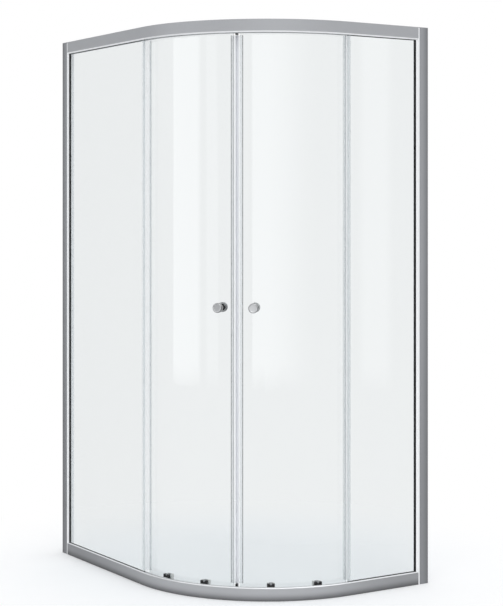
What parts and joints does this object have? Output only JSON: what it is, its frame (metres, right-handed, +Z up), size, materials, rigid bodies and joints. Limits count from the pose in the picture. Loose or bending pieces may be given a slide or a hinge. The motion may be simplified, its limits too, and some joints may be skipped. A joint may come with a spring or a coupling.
{
  "type": "shower cabin",
  "caption": "Quadrant corner shower cabin in satin aluminium and clear glass, with fixed side panels and curved sliding doors on rollers.",
  "frame": {"origin": "on the floor, under the middle of the cabin's rectangle; the room corner that the cabin closes off is at X = +0.44, Y = +0.59, Z = 0", "axes": "+Z up; +X towards the wall that carries the right-hand (short) panel; +Y towards the wall that carries the left-hand (long) panel; the curved doors face -X and -Y"},
  "size_m": [0.88, 1.18, 2],
  "materials": {
    "satin_aluminium": "satin",
    "grey_aluminium": "satin",
    "bright_aluminium": "polished",
    "clear_glass": "clear",
    "clear_seal": "translucent",
    "black_rubber": "matt",
    "black_plastic": "moulded",
    "grey_plastic": "moulded",
    "white_nylon": "moulded",
    "magnet_bar": "matt",
    "stainless_steel": "brushed",
    "knob_metal": "brushed",
    "bright_nut": "polished"
  },
  "bodies": {
    "root": {"wall_profile_left": "grey_aluminium", "wall_profile_right": "grey_aluminium", "frame_profile_left": "bright_aluminium", "frame_profile_right": "bright_aluminium", "top_rail": "satin_aluminium", "bottom_rail": "satin_aluminium", "fixed_glass_left": "clear_glass", "fixed_glass_right": "clear_glass", "glass_gaskets": "black_rubber", "edge_seals": "clear_seal", "glass_packers": "black_plastic", "rail_screws": "stainless_steel", "adjustment_screws": "stainless_steel", "screw_caps": "grey_plastic", "profile_caps": "grey_plastic", "centre_stops": "black_rubber", "end_stops": "black_rubber"},
    "door_left": {"door_glass_left": "clear_glass", "magnet_profile_left": "clear_seal", "magnet_strip_left": "magnet_bar", "rear_seal_left": "clear_seal", "knob_outer_left": "knob_metal", "knob_inner_left": "knob_metal", "knob_stud_left": "stainless_steel", "knob_washers_left": "black_rubber", "roller_axles_left": "stainless_steel", "roller_screws_left": "stainless_steel", "roller_caps_left": "bright_nut", "guide_blocks_left": "white_nylon", "guide_clamps_left": "black_plastic", "spring_left_front": "stainless_steel", "spring_left_rear": "stainless_steel"},
    "top_wheel_left_front": {"top_wheel_left_front": "white_nylon"},
    "release_slider_left_front": {"release_slider_left_front": "grey_plastic"},
    "guide_wheel_left_front": {"guide_wheel_left_front": "white_nylon"},
    "top_wheel_left_rear": {"top_wheel_left_rear": "white_nylon"},
    "release_slider_left_rear": {"release_slider_left_rear": "grey_plastic"},
    "guide_wheel_left_rear": {"guide_wheel_left_rear": "white_nylon"},
    "door_right": {"door_glass_right": "clear_glass", "magnet_profile_right": "clear_seal", "magnet_strip_right": "magnet_bar", "rear_seal_right": "clear_seal", "knob_outer_right": "knob_metal", "knob_inner_right": "knob_metal", "knob_stud_right": "stainless_steel", "knob_washers_right": "black_rubber", "roller_axles_right": "stainless_steel", "roller_screws_right": "stainless_steel", "roller_caps_right": "bright_nut", "guide_blocks_right": "white_nylon", "guide_clamps_right": "black_plastic", "spring_right_front": "stainless_steel", "spring_right_rear": "stainless_steel"},
    "top_wheel_right_front": {"top_wheel_right_front": "white_nylon"},
    "release_slider_right_front": {"release_slider_right_front": "grey_plastic"},
    "guide_wheel_right_front": {"guide_wheel_right_front": "white_nylon"},
    "top_wheel_right_rear": {"top_wheel_right_rear": "white_nylon"},
    "release_slider_right_rear": {"release_slider_right_rear": "grey_plastic"},
    "guide_wheel_right_rear": {"guide_wheel_right_rear": "white_nylon"}
  },
  "joints": [
    {"name": "door_left_slide", "type": "hinge", "parent": "root", "child": "door_left", "pos_m": [0.20862, -0.02092, 0], "axis": [0, 0, -1], "range_deg": [0, 20.91]},
    {"name": "top_wheel_left_front_spin", "type": "hinge", "parent": "door_left", "child": "top_wheel_left_front", "pos_m": [-0.34421, -0.32349, 1.9671], "axis": [-0.8549, -0.5188, 0], "continuous": true},
    {"name": "release_slider_left_front_press", "type": "slide", "parent": "door_left", "child": "release_slider_left_front", "axis": [0, 0, -1], "range_m": [0, 0.007], "stiffness_N_per_m": 300, "springref_m": -0.004, "deforming": ["spring_left_front"]},
    {"name": "guide_wheel_left_front_spin", "type": "hinge", "parent": "release_slider_left_front", "child": "guide_wheel_left_front", "pos_m": [-0.34421, -0.32349, 0.0289], "axis": [-0.8549, -0.5188, 0], "continuous": true},
    {"name": "top_wheel_left_rear_spin", "type": "hinge", "parent": "door_left", "child": "top_wheel_left_rear", "pos_m": [-0.4068, -0.1656, 1.9671], "axis": [-0.9781, -0.2079, 0], "continuous": true},
    {"name": "release_slider_left_rear_press", "type": "slide", "parent": "door_left", "child": "release_slider_left_rear", "axis": [0, 0, -1], "range_m": [0, 0.007], "stiffness_N_per_m": 300, "springref_m": -0.004, "deforming": ["spring_left_rear"]},
    {"name": "guide_wheel_left_rear_spin", "type": "hinge", "parent": "release_slider_left_rear", "child": "guide_wheel_left_rear", "pos_m": [-0.4068, -0.1656, 0.0289], "axis": [-0.9781, -0.2079, 0], "continuous": true},
    {"name": "door_right_slide", "type": "hinge", "parent": "root", "child": "door_right", "pos_m": [0.12908, 0.05862, 0], "axis": [0, 0, 1], "range_deg": [0, 20.91]},
    {"name": "top_wheel_right_front_spin", "type": "hinge", "parent": "door_right", "child": "top_wheel_right_front", "pos_m": [-0.17349, -0.49421, 1.9671], "axis": [-0.5188, -0.8549, 0], "continuous": true},
    {"name": "release_slider_right_front_press", "type": "slide", "parent": "door_right", "child": "release_slider_right_front", "axis": [0, 0, -1], "range_m": [0, 0.007], "stiffness_N_per_m": 300, "springref_m": -0.004, "deforming": ["spring_right_front"]},
    {"name": "guide_wheel_right_front_spin", "type": "hinge", "parent": "release_slider_right_front", "child": "guide_wheel_right_front", "pos_m": [-0.17349, -0.49421, 0.0289], "axis": [-0.5188, -0.8549, 0], "continuous": true},
    {"name": "top_wheel_right_rear_spin", "type": "hinge", "parent": "door_right", "child": "top_wheel_right_rear", "pos_m": [-0.0156, -0.5568, 1.9671], "axis": [-0.2079, -0.9781, 0], "continuous": true},
    {"name": "release_slider_right_rear_press", "type": "slide", "parent": "door_right", "child": "release_slider_right_rear", "axis": [0, 0, -1], "range_m": [0, 0.007], "stiffness_N_per_m": 300, "springref_m": -0.004, "deforming": ["spring_right_rear"]},
    {"name": "guide_wheel_right_rear_spin", "type": "hinge", "parent": "release_slider_right_rear", "child": "guide_wheel_right_rear", "pos_m": [-0.0156, -0.5568, 0.0289], "axis": [-0.2079, -0.9781, 0], "continuous": true}
  ],
  "couplings": [
    {"joint": "top_wheel_left_front_spin", "follows": "door_left_slide", "ratio": 57.235},
    {"joint": "guide_wheel_left_front_spin", "follows": "door_left_slide", "ratio": -69.954},
    {"joint": "top_wheel_left_rear_spin", "follows": "door_left_slide", "ratio": 57.46},
    {"joint": "guide_wheel_left_rear_spin", "follows": "door_left_slide", "ratio": -70.228},
    {"joint": "top_wheel_right_front_spin", "follows": "door_right_slide", "ratio": -57.235},
    {"joint": "guide_wheel_right_front_spin", "follows": "door_right_slide", "ratio": 69.954},
    {"joint": "top_wheel_right_rear_spin", "follows": "door_right_slide", "ratio": -57.46},
    {"joint": "guide_wheel_right_rear_spin", "follows": "door_right_slide", "ratio": 70.228}
  ]
}
